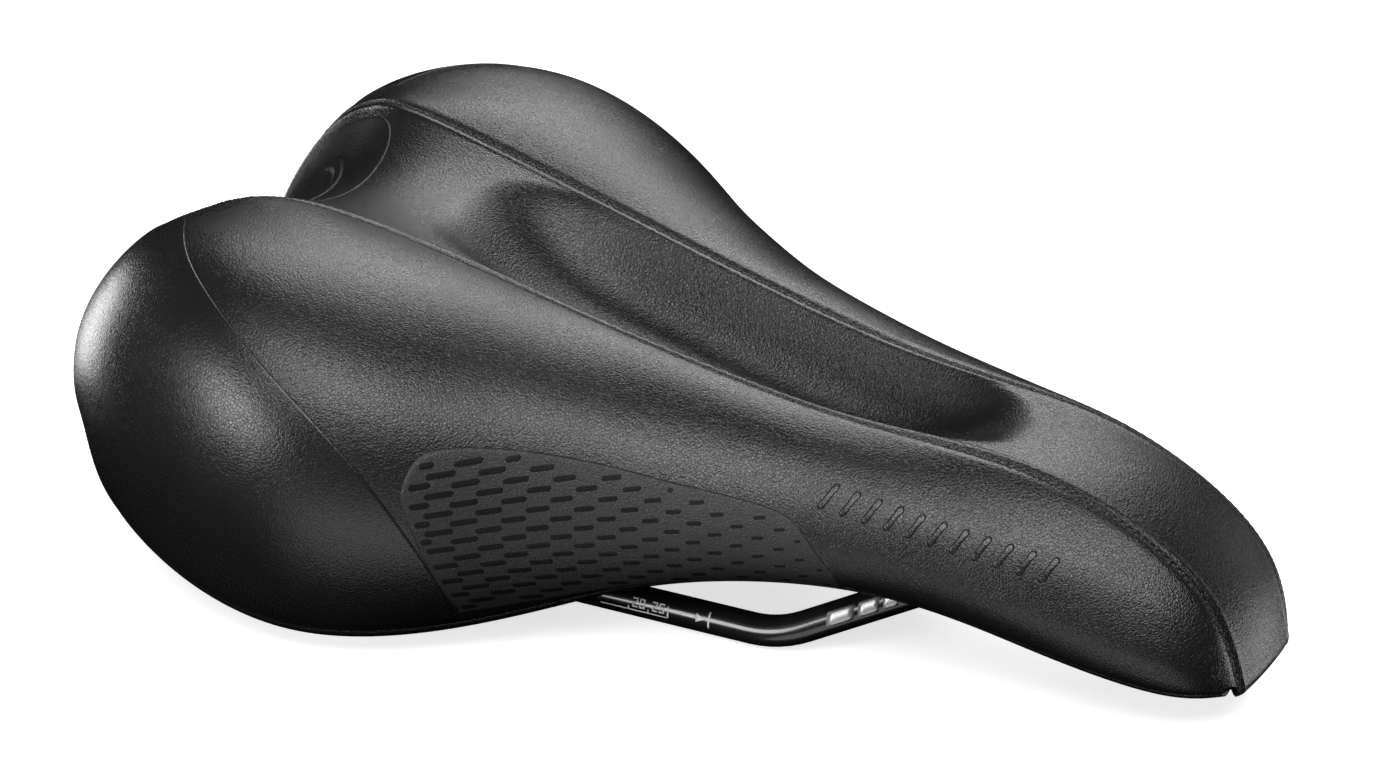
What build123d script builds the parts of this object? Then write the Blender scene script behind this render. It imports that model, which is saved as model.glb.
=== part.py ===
from build123d import *
import os
import numpy as np

# A bicycle saddle: skins over a foam pad, a stiff base shell under it, and one bent rod
# that carries it.  Millimetres, +X to the nose, +Y to the rider's left, +Z up.
# The origin lies midway between the two rails, at their axis height, in the clamping stretch.

# ---------------------------------------------------------------- driving dimensions
LENGTH = 270.0              # rear edge to nose
WIDTH = 173.0               # across the wings
HEIGHT = 83.0               # rail axis to the top of the pad

COVER = 1.2                 # thickness of the skins
LAYER_GAP = 0.3             # clearance between skin, foam and base
HEM_ROLL = 2.0              # outer radius of the skin where it turns under the base
HEM_TURN = 8.0              # width of the skin glued under the base
SEAM_HALF = 1.0             # half width of the welted seam
SEAM_CROWN = 0.5            # how far the welt stands proud of the skins
SEAM_GAP = 0.1              # clearance between a welt and the skins beside it
FILM = 0.4                  # thickness of the bonded patches
FILM_GAP = 0.1              # clearance between a patch and the skin it is bonded to
RECESS_DEPTH = 13.0         # depth of the relief channel along the middle

BASE = 3.0                  # thickness of the base shell
LEDGE = 4.0                 # the base's rim stays straight this far past the turned hem
FOAM_RIM = 1.0              # thickness of the foam's lower edge at the rim of the base
RIB_HEIGHT = 4.0            # stiffening ribs under the base shell
RIB_WIDTH = 2.4
RIB_SPAN = 0.52             # length of the cross ribs, as a share of WIDTH

RAIL_RADIUS = 3.5
RAIL_GAUGE = 44.0           # between the two rail axes in the clamping stretch
CLAMP_REAR = -38.0          # clamping stretch, where both rails are straight
CLAMP_FRONT = 32.0
RAIL_BEND = 25.0            # radius of the rod's gentle bends
BEND_REACH = 7.0            # how far past the clamping stretch a bend has its corner

NOSE_SETBACK = 26.5         # nose to the front of the rod
NOSE_GAUGE = 20.0           # between the rod's legs in the nose socket
NOSE_U = 9.0                # radius of the rod's turn in the nose socket
NOSE_RISE = 21.0            # nose socket above the clamping stretch
REAR_SETBACK = 17.0         # rear edge to the rear ends of the rod
REAR_INSET = 53.5           # widest point of a wing to the rear end of the rod
REAR_RISE = 19.0
SOCKET_STRAIGHT = 30.0      # from each end of the rod to its next bend

ROD_GAP = 0.1               # clearance round the rod in bushings and sockets
BUSHING = 1.5               # wall of the rubber bushing
BUSHING_LENGTH = 20.0
PLATE = 6.0                 # thickness of the clamp plate and the caps
SPLIT = 0.6                 # slot between a socket and its plate or cap
CORNER = 4.0                # rounding of the sockets, the plate and the caps
CAP_LENGTH = 22.0
CAP_WIDTH = 27.0
NOSE_PLATE_LENGTH = 28.0
PLATE_LAP = 1.0             # the nose plate reaches this far past the rod
NOSE_CHEEK = 2.5            # wall of the nose plate outside the rod

SCREW_RADIUS = 2.0
SCREW_HEAD_RADIUS = 3.6
SCREW_HEAD = 2.6
HEAD_ROUND = 0.5            # rounding of a head's outer edge
SCREW_GRIP = 11.0           # shank length
SCREW_GAP = 0.1
HEX = 2.5                   # across the flats of the screws' sockets
HEX_DEPTH = 1.6
CAP_SCREW_SPREAD = 18.0     # between the two screws of a rear cap
NOSE_SCREW_SPREAD = 11.0    # between the two screws of the nose plate

# ---------------------------------------------------------------- form lines
# Ten stations run from the rear edge to the nose.  Each line is a smooth curve through its
# stations, drawn on a pattern of this size and stretched to LENGTH, WIDTH and HEIGHT.
PATTERN = (270.0, 173.0, 83.0)
CENTRE = ((-118, 0, 24), (-114, 0, 43), (-104, 0, 60), (-91, 0, 68), (-66, 0, 75),
          (-17, 0, 66), (48, 0, 52.5), (97, 0, 48.8), (132, 0, 31.5), (143, 0, 6.5))
SEAM = ((-127, 33, 29), (-120, 36, 52), (-107, 37, 71), (-95, 35, 79), (-73, 27.5, 81.5),
        (-17, 23, 68.5), (48, 18.5, 54), (96, 16.5, 48.5), (130, 15.5, 31.5), (141, 14, 9.5))
SHOULDER = ((-126, 38, 29), (-117, 66, 58), (-91, 81, 91), (-45, 85, 99), (-6, 65, 83.5),
            (27, 46.5, 63), (63, 37.5, 51.5), (100, 30.5, 40.5), (131, 23, 24), (140, 16, 9.5))
FLANK = ((-124, 40, 27), (-107, 66, 34), (-80, 92, 34), (-33, 100, 35.5), (4, 74.5, 32),
         (35, 57, 27.5), (68, 46, 27), (102, 40, 22), (127.5, 33, 14), (138, 19, 8))
HEM = ((-126, 37, 25.5), (-121, 46, 21.5), (-101, 61.5, 11.5), (-54, 71, 1.5), (-9, 52, 6.5),
       (24, 41, 17.5), (64.5, 30, 19.5), (101, 26, 12.5), (127, 21.5, 7), (140, 15, 7))
# Crown of the base shell, along the middle.
CROWN = ((-112, 0, 26), (-106, 0, 31), (-92, 0, 36.5), (-52, 0, 41), (-9, 0, 39),
         (24, 0, 34.5), (64.5, 0, 33), (100, 0, 33.5), (124, 0, 28), (134, 0, 15))
RIBS_ALONG = ((95, 7), (10, 30))    # how far forward, and how far from the middle
RIBS_ACROSS = (-62, -12)
RIB_START, RIB_END = 1.2, 8     # stations between which the ribs run
RECESS = (-50, -20, 64, 96)     # fade in from, full from, full to, fade out at
FLOOR_SHARE = 0.25              # how far the floor of the recess and its rims run level,
RIM_SHARE = 0.25                # as shares of the way from the middle to a seam

FOAM_START, FOAM_END = 0.2, 8.75
KNOTS = (0, 0.2, 0.5, 1, 1.5, 2, 2.5, 3, 3.5, 4, 4.25, 4.5, 4.75, 5, 5.5, 6, 6.25, 6.5, 6.75,
         7, 7.5, 8, 8.5, 8.75, 9)
STEP = 1e-3                     # station step for slopes
ROUND = 0.55                    # handle length that bends a cubic curve like a quarter circle
HEM_LEAST = 0.1                 # share of the turned hem left at the rear edge and at the nose
HEM_FADE = (0.8, 8.0, 8.8)      # full from, full to, faded out at

# Stations and shares of the flank between which each bonded patch lies.
SCUFF_SPAN = (0.5, 4, 0.06, 0.93)
GRIP_SPAN = (3.25, 6.25, 0.3, 0.9)
BADGE_SPAN = (2.1, 3.6)
BADGE_REACH = 0.72              # share of the way from the middle to a seam

# Side views of the patches' outlines (x, z), on the same pattern.
SCUFF_EDGE = ((-104, 100), (-92, 80.5), (-78, 79), (-65, 75.5), (-53, 67), (-44, 60), (-35, 51),
              (-27, 37), (-21.5, 22), (-20, 4))
GRIP_TOP = ((-22, 43), (-20.5, 49.5), (-12, 52), (13, 47.3), (28, 44), (44, 41.2), (53, 37), (60, 27))
GRIP_REAR = ((-22, 43), (-19, 29.5), (-16, 12))


def natural_spline(stations):
    """Smooth curve through the stations, one unit of its parameter apart."""
    points = np.array(stations) * (np.array([LENGTH, WIDTH, HEIGHT]) / PATTERN)
    count = len(points)
    system = np.eye(count)
    bends = np.zeros_like(points)
    for i in range(1, count - 1):
        system[i, i - 1:i + 2] = 1, 4, 1
        bends[i] = 6 * (points[i - 1] - 2 * points[i] + points[i + 1])
    bends = np.linalg.solve(system, bends)

    def at(u):
        i = min(max(int(u), 0), count - 2)
        b = u - i
        a = 1 - b
        curve = (a ** 3 - a) * bends[i] + (b ** 3 - b) * bends[i + 1]
        return a * points[i] + b * points[i + 1] + curve / 6

    return at


centre_line, seam_line, shoulder_line, flank_line, hem_line, crown_line = [
    natural_spline(s) for s in (CENTRE, SEAM, SHOULDER, FLANK, HEM, CROWN)]
REAR_X = min(x for x, y, z in SEAM) * LENGTH / PATTERN[0]
NOSE_X = max(x for x, y, z in CENTRE) * LENGTH / PATTERN[0]


def smooth(value, low, high):
    """0 below low, 1 above high, smooth between."""
    t = min(max((value - low) / (high - low), 0.0), 1.0)
    return t * t * (3 - 2 * t)


def unit(vector):
    return vector / np.linalg.norm(vector)


# ---------------------------------------------------------------- sections
# A half section is a chain of cubic curves: centre, two handles, seam, two handles, hem.
def recess_share(u):
    x = centre_line(u)[0] * PATTERN[0] / LENGTH
    return smooth(x, RECESS[0], RECESS[1]) * (1 - smooth(x, RECESS[2], RECESS[3]))


def chain(u):
    centre = centre_line(u)
    seam = seam_line(u)
    across = np.array([0, seam[1], 0])
    plain = (centre + across / 3, (2 * centre + across + seam) / 3)
    floor = centre - (0, 0, RECESS_DEPTH)
    rim = (2 * centre + seam) / 3 * (1, 0, 1) + across * (1 - RIM_SHARE)
    share = recess_share(u)
    low = plain[0] * (1 - share) + (floor + across * FLOOR_SHARE) * share
    high = plain[1] * (1 - share) + rim * share
    middle = centre * (1 - share) + floor * share
    return np.array([middle, low, high, seam, shoulder_line(u), flank_line(u), hem_line(u)])


def rate(section, u):
    """How fast a section moves from station to station."""
    return (np.array(section(u + STEP)) - np.array(section(u - STEP))) / (2 * STEP)


def sunk(u, depth):
    """The half section, moved inward by a depth, or outward by a negative one."""
    points = chain(u)
    rates = rate(chain, u)
    normals = [np.array([0, 0, 1.0])]
    normals[0] = unit(np.cross(rates[0], [0, 1, 0]))
    for i in range(6):
        normals.append(unit(np.cross(rates[i] + rates[i + 1], points[i + 1] - points[i])))
    normals.append(normals[-1])
    moved = []
    for i, point in enumerate(points):
        a, b = normals[i], normals[i + 1]
        moved.append(point - depth * (a + b) / (1 + a @ b))
    return np.array(moved)


def trimmed(curve, start, end):
    """Control points of the part of a cubic curve between two parameters."""
    def halves(points, t):
        rows = [np.array(points)]
        while len(rows[-1]) > 1:
            rows.append(rows[-1][:-1] * (1 - t) + rows[-1][1:] * t)
        return [r[0] for r in rows], [r[-1] for r in rows][::-1]

    left = halves(curve, end)[0]
    return np.array(halves(left, start / end)[1])


def middle_part(u, depth, reach=1.0):
    """From the centre towards the seam."""
    return trimmed(sunk(u, depth)[:4], 0, reach)


def seam_trim(u, side):
    """Parameter at which a skin stops beside the welt."""
    points = chain(u)
    leg = points[4] - points[3] if side else points[3] - points[2]
    return (SEAM_HALF + SEAM_GAP) / (3 * np.linalg.norm(leg))


def hem_frame(u, depth=0.0):
    """Where the skin starts to turn under: parameter, point, way down and way out."""
    points = chain(u)
    stop = 1 - HEM_ROLL / (3 * np.linalg.norm(points[6] - points[5]))
    side = trimmed(sunk(u, depth)[3:], 0, stop)
    down = unit(side[3] - side[2])
    rates = rate(chain, u)
    out = unit(np.cross(rates[5] + rates[6], points[6] - points[5]))
    return stop, side[3], down, out


def straight(a, b):
    return np.array([a, (2 * a + b) / 3, (a + 2 * b) / 3, b])


def mirrored(parts):
    """The same half section on the right, listed from the outside in."""
    return [p[::-1] * (1, -1, 1) for p in parts[::-1]]


# ---------------------------------------------------------------- skins
def centre_skin(u, depth):
    half = [middle_part(u, depth, 1 - seam_trim(u, False))]
    return mirrored(half) + half


def side_skin(u, depth):
    """Flank from the welt down, a roll round the rim of the base, and the turned hem under it."""
    stop, corner, down, out = hem_frame(u, depth)
    arch = base_arch(u, depth - BASE - LAYER_GAP - COVER)[::-1]
    hem = trimmed(arch, 0, HEM_TURN / (3 * (HEM_TURN + LEDGE)))
    inset = COVER + LAYER_GAP - depth
    turn = corner + ROUND * (HEM_ROLL - depth) * down
    roll = np.array([corner, turn, hem[0] + ROUND * inset * out, hem[0]])
    flank = trimmed(sunk(u, depth)[3:], seam_trim(u, True), stop)
    return [flank, roll, hem]


def hem_share(u):
    """The turned hem runs out at the rear and at the nose."""
    full = smooth(u, 0, HEM_FADE[0]) * (1 - smooth(u, HEM_FADE[1], HEM_FADE[2]))
    return HEM_LEAST + (1 - HEM_LEAST) * full


def welt(u, depth):
    """Crowned strip that fills the slot between the skins."""
    inner = middle_part(u, max(depth, 0), 1 - seam_trim(u, False))[3]
    outer = trimmed(sunk(u, max(depth, 0))[3:], seam_trim(u, True), 1)[0]
    gap = SEAM_GAP * unit(outer - inner)
    strip = straight(inner + gap, outer - gap)
    if depth < 0:
        up = unit(np.cross(rate(seam_line, u), outer - inner))
        strip[1:3] = strip[1:3] - depth * 4 / 3 * up
    return [strip]


# ---------------------------------------------------------------- foam and base
def base_arch(u, lift):
    """Half section of the base from crown to rim; lift 0 is its top, -BASE its underside."""
    stop, corner, down, out = hem_frame(u)
    drop = HEM_ROLL - COVER - LAYER_GAP
    rim = corner + drop * down - (BASE + lift) * down - (COVER + LAYER_GAP) * out
    crown = crown_line(u) + (0, 0, lift)
    ledge = (HEM_TURN + LEDGE) * hem_share(u)
    return np.array([crown, crown + (0, ROUND * rim[1], 0), rim - ledge * out, rim])


def base_sheet(u, lift):
    half = [base_arch(u, lift)]
    return mirrored(half) + half


def foam_flank(u):
    """From the seam down to the rim of the base."""
    points = chain(u)
    rim = BASE + COVER + 2 * LAYER_GAP + FOAM_RIM
    stop = 1 - rim / (3 * np.linalg.norm(points[6] - points[5]))
    return trimmed(sunk(u, COVER + LAYER_GAP)[3:], 0, stop)


def foam_sheet(u, bottom):
    if bottom:
        arch = base_arch(u, LAYER_GAP)
        half = [trimmed(arch, 0, 0.5), trimmed(arch, 0.5, 1)]
    else:
        half = [middle_part(u, COVER + LAYER_GAP), foam_flank(u)]
    return mirrored(half) + half


# ---------------------------------------------------------------- solids from sections
def patch_rows(section, a, b):
    """Four rows of control points between two stations, for each curve of a section."""
    first, last = np.array(section(a)), np.array(section(b))
    leave = rate(section, a) * (b - a) / 3
    reach = rate(section, b) * (b - a) / 3
    return np.stack([first, first + leave, last - reach, last], axis=1)


def bezier_face(rows):
    return Face.make_bezier_surface([[Vector(*p) for p in row] for row in rows])


def block(upper, lower, start=0, end=9, knots=KNOTS):
    """Closed solid between two sheets, from one station to another."""
    stops = [start] + [k for k in knots if start < k < end] + [end]
    faces = []
    for a, b in zip(stops[:-1], stops[1:]):
        sheets = [patch_rows(s, a, b) for s in (upper, lower)]
        for sheet in sheets:
            faces += [bezier_face(rows) for rows in sheet]
        for curve, column in ((0, 0), (-1, -1)):
            faces.append(bezier_face([sheets[0][curve][:, column], sheets[1][curve][:, column]]))
    for u in (start, end):
        for high, low in zip(upper(u), lower(u)):
            faces.append(bezier_face([high, low]))
    solid = Solid(Shell(faces))
    return solid if solid.volume > 0 else Solid(solid.wrapped.Reversed())


def layer(section, top, bottom, start=0, end=9):
    return block(lambda u: section(u, top), lambda u: section(u, bottom), start, end)


def right_of(solid):
    return solid.mirror(Plane.XZ)


def side_view(points):
    """Points of the pattern's side view, in the XZ plane."""
    return [(x * LENGTH / PATTERN[0], 0, z * HEIGHT / PATTERN[2]) for x, z in points]


def prism(edges):
    """Upright region of the XZ plane, carried across the whole left half."""
    face = Face(Wire(edges))
    return Solid.extrude(face, Vector(0, WIDTH, 0))


# ---------------------------------------------------------------- patches
def side_film(start, end, low, high):
    def section(u, depth):
        return [trimmed(sunk(u, depth)[3:], low, high)]
    return layer(section, -FILM_GAP - FILM, -FILM_GAP, start, end)


def scuff_patch():
    edge = side_view(SCUFF_EDGE)
    far = side_view([(PATTERN[0], z) for x, z in (SCUFF_EDGE[-1], SCUFF_EDGE[0])])
    ahead = prism([Edge.make_spline([Vector(*p) for p in edge]),
                   Edge.make_line(edge[-1], far[0]),
                   Edge.make_line(far[0], far[1]),
                   Edge.make_line(far[1], edge[0])])
    return side_film(*SCUFF_SPAN) - ahead


def grip_patch():
    top, rear = side_view(GRIP_TOP), side_view(GRIP_REAR)
    low = side_view([(x, -PATTERN[2]) for x, z in (GRIP_REAR[-1], GRIP_TOP[-1])])
    outline = prism([Edge.make_spline([Vector(*p) for p in top]),
                     Edge.make_line(top[-1], low[1]),
                     Edge.make_line(low[1], low[0]),
                     Edge.make_line(low[0], rear[-1]),
                     Edge.make_spline([Vector(*p) for p in rear[::-1]])])
    return side_film(*GRIP_SPAN) & outline


def badge_patch():
    def section(u, depth):
        half = [middle_part(u, depth, BADGE_REACH)]
        return mirrored(half) + half
    return layer(section, -FILM_GAP - FILM, -FILM_GAP, *BADGE_SPAN)


# ---------------------------------------------------------------- rod and sockets
REAR_GAUGE = WIDTH - 2 * REAR_INSET
ROD_FRONT = NOSE_X - NOSE_SETBACK - RAIL_RADIUS
ROD_REAR = REAR_X + REAR_SETBACK
REAR_SEAT = ROD_REAR + CAP_LENGTH / 2
NOSE_PLATE_WIDTH = NOSE_GAUGE + 2 * (RAIL_RADIUS + NOSE_CHEEK)
NOSE_SEAT = ROD_FRONT + RAIL_RADIUS + PLATE_LAP - NOSE_PLATE_LENGTH / 2


def rod_path():
    """Centre line of the rod: right rear end, round the nose, left rear end."""
    gauge, rear, nose = RAIL_GAUGE / 2, REAR_GAUGE / 2, NOSE_GAUGE / 2
    left = [(ROD_REAR, rear, REAR_RISE),
            (ROD_REAR + SOCKET_STRAIGHT, rear, REAR_RISE),
            (CLAMP_REAR - BEND_REACH, gauge, 0),
            (CLAMP_FRONT + BEND_REACH, gauge, 0),
            (ROD_FRONT - SOCKET_STRAIGHT, nose, NOSE_RISE),
            (ROD_FRONT, nose, NOSE_RISE)]
    points = [(x, -y, z) for x, y, z in left] + left[::-1]
    bends = [RAIL_BEND] * 4
    return FilletPolyline(*points, radius=bends + [NOSE_U] * 2 + bends)


def rod(radius):
    path = rod_path()
    start = Plane(origin=path @ 0, z_dir=path % 0)
    return sweep(start * Circle(radius), path=path)


def along_x(x, y, z, length, radius):
    middle = Plane(origin=(x - length / 2, y, z), z_dir=(1, 0, 0))
    return middle * Cylinder(radius, length, align=(Align.CENTER, Align.CENTER, Align.MIN))


def cuboid(x, y, low, high, length, width, rounding):
    solid = Pos(x, y, (low + high) / 2) * Box(length, width, high - low)
    return fillet(solid.edges().filter_by(Axis.Z), rounding)


def cap_spots():
    half = CAP_SCREW_SPREAD / 2
    return [(REAR_SEAT, REAR_GAUGE / 2 - half), (REAR_SEAT, REAR_GAUGE / 2 + half)]


def nose_spots():
    """Both screws lie between the rod's legs, the front one just clear of its turn."""
    front = ROD_FRONT - RAIL_RADIUS - ROD_GAP - SCREW_HEAD_RADIUS - LAYER_GAP
    return [(front - NOSE_SCREW_SPREAD, 0), (front, 0)]


def screw_holes(spots, low, height):
    radius = SCREW_RADIUS + SCREW_GAP
    bottom = (Align.CENTER, Align.CENTER, Align.MIN)
    return [Pos(x, y, low) * Cylinder(radius, height, align=bottom) for x, y in spots]


def screw(x, y, seat):
    """Cap screw with its head under a plate whose lower face is at seat."""
    bottom = (Align.CENTER, Align.CENTER, Align.MIN)
    head = Pos(x, y, seat - SCREW_HEAD) * Cylinder(SCREW_HEAD_RADIUS, SCREW_HEAD, align=bottom)
    head = fillet(head.edges().group_by(Axis.Z)[0], HEAD_ROUND)
    shank = Pos(x, y, seat) * Cylinder(SCREW_RADIUS, SCREW_GRIP, align=bottom)
    key = RegularPolygon(HEX / 2, 6, major_radius=False)
    socket = Pos(x, y, seat - SCREW_HEAD) * extrude(key, HEX_DEPTH)
    return head + shank - socket


def bushing():
    y, z = REAR_GAUGE / 2, REAR_RISE
    sleeve = along_x(REAR_SEAT, y, z, BUSHING_LENGTH, RAIL_RADIUS + ROD_GAP + BUSHING)
    return sleeve - along_x(REAR_SEAT, y, z, BUSHING_LENGTH, RAIL_RADIUS + ROD_GAP)


def bushing_seat():
    y, z = REAR_GAUGE / 2, REAR_RISE
    radius = RAIL_RADIUS + 2 * ROD_GAP + BUSHING
    return along_x(REAR_SEAT, y, z, SOCKET_STRAIGHT + CAP_LENGTH, radius)


def rear_cap():
    top = REAR_RISE - SPLIT / 2
    plate = cuboid(REAR_SEAT, REAR_GAUGE / 2, top - PLATE, top, CAP_LENGTH, CAP_WIDTH, CORNER)
    for hole in screw_holes(cap_spots(), top - PLATE, PLATE):
        plate -= hole
    return plate - bushing_seat()


def nose_plate(groove):
    top = NOSE_RISE - SPLIT / 2
    plate = cuboid(NOSE_SEAT, 0, top - PLATE, top, NOSE_PLATE_LENGTH, NOSE_PLATE_WIDTH, CORNER)
    for hole in screw_holes(nose_spots(), top - PLATE, PLATE):
        plate -= hole
    return plate - groove


def under_base():
    """All the space under the middle of the base shell's wall."""
    def section(u, depth):
        return [p - (0, 0, depth) for p in base_sheet(u, -BASE / 2)]
    return layer(section, 0, HEIGHT, FOAM_START, FOAM_END)


def base_ribs():
    """Stiffening ribs that follow the underside: four along the shell and two across."""
    band = layer(base_sheet, -BASE / 2, -BASE - RIB_HEIGHT, RIB_START, RIB_END)
    deep = 2 * HEIGHT
    to_front = (Align.MAX, Align.CENTER, Align.CENTER)
    plates = [Pos(x * LENGTH / PATTERN[0], side * y * WIDTH / PATTERN[1], 0)
              * Box(LENGTH, RIB_WIDTH, deep, align=to_front)
              for x, y in RIBS_ALONG for side in (-1, 1)]
    plates += [Pos(x * LENGTH / PATTERN[0], 0, 0) * Box(RIB_WIDTH, RIB_SPAN * WIDTH, deep)
               for x in RIBS_ACROSS]
    return [band & plate for plate in plates]


def base_shell(groove):
    """Shell, ribs and the three sockets, bored for the bushings, the rod and the screws."""
    under = under_base()
    rear_low, nose_low = REAR_RISE + SPLIT / 2, NOSE_RISE + SPLIT / 2
    rear = cuboid(REAR_SEAT, REAR_GAUGE / 2, rear_low, HEIGHT, CAP_LENGTH, CAP_WIDTH, CORNER) & under
    nose = cuboid(NOSE_SEAT, 0, nose_low, HEIGHT, NOSE_PLATE_LENGTH, NOSE_PLATE_WIDTH, CORNER) & under
    solid = layer(base_sheet, 0, -BASE, FOAM_START, FOAM_END)
    for piece in [rear, right_of(rear), nose] + base_ribs():
        solid += piece
    reach = SCREW_GRIP + SCREW_GAP - PLATE
    holes = screw_holes(nose_spots(), nose_low - SPLIT, reach)
    for hole in screw_holes(cap_spots(), rear_low - SPLIT, reach) + [bushing_seat()]:
        holes += [hole, right_of(hole)]
    for hole in holes + [groove]:
        solid -= hole
    return solid


# ---------------------------------------------------------------- build
def save(name, shape, colour):
    shape.label = name
    shape.color = Color(colour)
    export_step(shape, os.path.join("parts", name + ".step"))


def save_pair(name, left, colour):
    save(name + "_left", left, colour)
    save(name + "_right", right_of(left), colour)


if __name__ == "__main__":
    os.makedirs("parts", exist_ok=True)
    save("cover_centre_panel", layer(centre_skin, 0, COVER), "gray20")
    save_pair("cover_side_panel", layer(side_skin, 0, COVER), "gray25")
    save_pair("seam_welt", layer(welt, -SEAM_CROWN, COVER), "gray50")
    save("rear_badge_patch", badge_patch(), "gray10")
    save_pair("wing_scuff_patch", scuff_patch(), "gray15")
    save_pair("flank_grip_patch", grip_patch(), "gray35")
    foam = block(lambda u: foam_sheet(u, False), lambda u: foam_sheet(u, True), FOAM_START, FOAM_END)
    save("foam_pad", foam, "khaki")
    groove = rod(RAIL_RADIUS + ROD_GAP)
    save("rails", rod(RAIL_RADIUS), "gray5")
    save("base_shell", base_shell(groove), "gray40")
    save("nose_rail_clamp", nose_plate(groove), "gray60")
    save_pair("rear_rail_cap", rear_cap(), "gray60")
    save_pair("rear_rail_bushing", bushing(), "gray30")
    seat = NOSE_RISE - SPLIT / 2 - PLATE
    save("nose_clamp_screws", Compound(children=[screw(x, y, seat) for x, y in nose_spots()]), "silver")
    seat = REAR_RISE - SPLIT / 2 - PLATE
    spots = [(x, y * side) for x, y in cap_spots() for side in (-1, 1)]
    save("rear_cap_screws", Compound(children=[screw(x, y, seat) for x, y in spots]), "silver")
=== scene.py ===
import math
import bpy
import numpy as np
from mathutils import Matrix, Vector


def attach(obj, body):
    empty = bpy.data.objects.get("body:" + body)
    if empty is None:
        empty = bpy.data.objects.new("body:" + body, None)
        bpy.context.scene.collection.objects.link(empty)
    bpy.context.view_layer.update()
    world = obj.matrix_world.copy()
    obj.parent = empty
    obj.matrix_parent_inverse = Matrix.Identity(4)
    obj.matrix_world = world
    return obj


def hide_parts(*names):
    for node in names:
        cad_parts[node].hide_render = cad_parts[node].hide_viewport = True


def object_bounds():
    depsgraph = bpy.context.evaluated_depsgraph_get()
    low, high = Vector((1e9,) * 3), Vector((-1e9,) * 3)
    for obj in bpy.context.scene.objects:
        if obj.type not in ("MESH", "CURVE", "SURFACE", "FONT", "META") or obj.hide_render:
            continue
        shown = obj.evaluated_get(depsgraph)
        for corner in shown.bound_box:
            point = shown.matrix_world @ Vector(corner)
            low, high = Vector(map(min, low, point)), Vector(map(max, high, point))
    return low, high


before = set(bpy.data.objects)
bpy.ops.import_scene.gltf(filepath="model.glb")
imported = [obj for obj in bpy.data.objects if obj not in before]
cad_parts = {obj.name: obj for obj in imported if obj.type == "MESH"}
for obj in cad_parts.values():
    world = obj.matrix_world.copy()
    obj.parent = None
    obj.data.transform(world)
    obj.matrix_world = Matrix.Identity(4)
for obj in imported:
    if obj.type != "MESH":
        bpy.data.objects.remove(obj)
CAD_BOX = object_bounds()

# A bicycle saddle in metres: skins over a foam pad, stitched seams, bonded films and a painted rod.
MM = 0.001
RIGHT, LEFT = -1, 1

# Sizes that follow the CAD model.
COVER = 1.2 * MM
LAYER_GAP = 0.3 * MM
HEM_ROLL = 2.0 * MM
HEM_TURN = 8.0 * MM
HEM_LEAST = 0.1                 # share of the hem's turn that is left at both ends
HEM_REAR_FULL = 0.8             # stations between which the hem has its whole turn
HEM_NOSE_FULL, HEM_NOSE_LEAST = 8, 8.8
LEDGE = 4.0 * MM
BASE = 3.0 * MM
ARCH_WIDTH = 0.55               # the base's crown is level this far, as a share of its half width
FOAM_RIM = 1.0 * MM
RAIL_RADIUS = 3.5 * MM

# Sizes of the skins' finer shape.
SEAM_EDGE = 0.80 * MM           # seam line to the folded edge of a skin
END_ROLL = 2.0 * MM             # the skins turn in this far at the nose and the rear edge
END_SPAN = 0.1                  # length of that turn, in stations
SEAM_TAIL = 0.15                # the seam runs on past the last station, down to the hem
TAIL_SPAN = 0.6                 # stations over which that stretch comes in
PULL_DEPTH = 0.45 * MM          # the thread draws the skins in
PULL_SIDE = 1.5 * MM
PULL_MIDDLE = 1.2 * MM
PUCKER_SIDE = 0.10 * MM
PUCKER_MIDDLE = 0.08 * MM
PUCKER_REACH = 4.5 * MM
PUCKER_RATE = 120               # radians to a station
LIP_HEIGHT = 0.16 * MM          # low ridge beside the seam, on the centre panel
LIP_PLACE = 2.0 * MM
LIP_WIDTH = 0.7 * MM
HEM_LINE_DEPTH = 0.35 * MM      # shallow groove above the hem
HEM_LINE_PLACE = 4.6 * MM
HEM_LINE_WIDTH = 0.7 * MM
SOFT_DEPTH = 0.22 * MM          # slow unevenness of the flank
SOFT_PITCH = 26 * MM
SOFT_SEED = 1.3
SOFT_ALONG = 30 * MM            # a station's length and the flank's height, in its pattern
SOFT_DOWN = 60 * MM
SOFT_BELOW_SEAM = 12 * MM       # distance from the seam where it is full
SOFT_HEM_GONE = 4 * MM          # distances from the hem where it is gone, and full
SOFT_HEM_FULL = 14 * MM

# Form lines: stations from the rear edge to the nose, in millimetres.
CENTRE = ((-118, 0, 24), (-114, 0, 43), (-104, 0, 60), (-91, 0, 68), (-66, 0, 75),
          (-17, 0, 66), (48, 0, 52.5), (97, 0, 48.8), (132, 0, 31.5), (143, 0, 6.5))
SEAM = ((-127, 33, 29), (-120, 36, 52), (-107, 37, 71), (-95, 35, 79), (-73, 27.5, 81.5),
        (-17, 23, 68.5), (48, 18.5, 54), (96, 16.5, 48.5), (130, 15.5, 31.5), (141, 14, 9.5))
SHOULDER = ((-126, 38, 29), (-117, 66, 58), (-91, 81, 91), (-45, 85, 99), (-6, 65, 83.5),
            (27, 46.5, 63), (63, 37.5, 51.5), (100, 30.5, 40.5), (131, 23, 24), (140, 16, 9.5))
FLANK = ((-124, 40, 27), (-107, 66, 34), (-80, 92, 34), (-33, 100, 35.5), (4, 74.5, 32),
         (35, 57, 27.5), (68, 46, 27), (102, 40, 22), (127.5, 33, 14), (138, 19, 8))
HEM = ((-126, 37, 25.5), (-121, 46, 21.5), (-101, 61.5, 11.5), (-54, 71, 1.5), (-9, 52, 6.5),
       (24, 41, 17.5), (64.5, 30, 19.5), (101, 26, 12.5), (127, 21.5, 7), (140, 15, 7))
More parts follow.
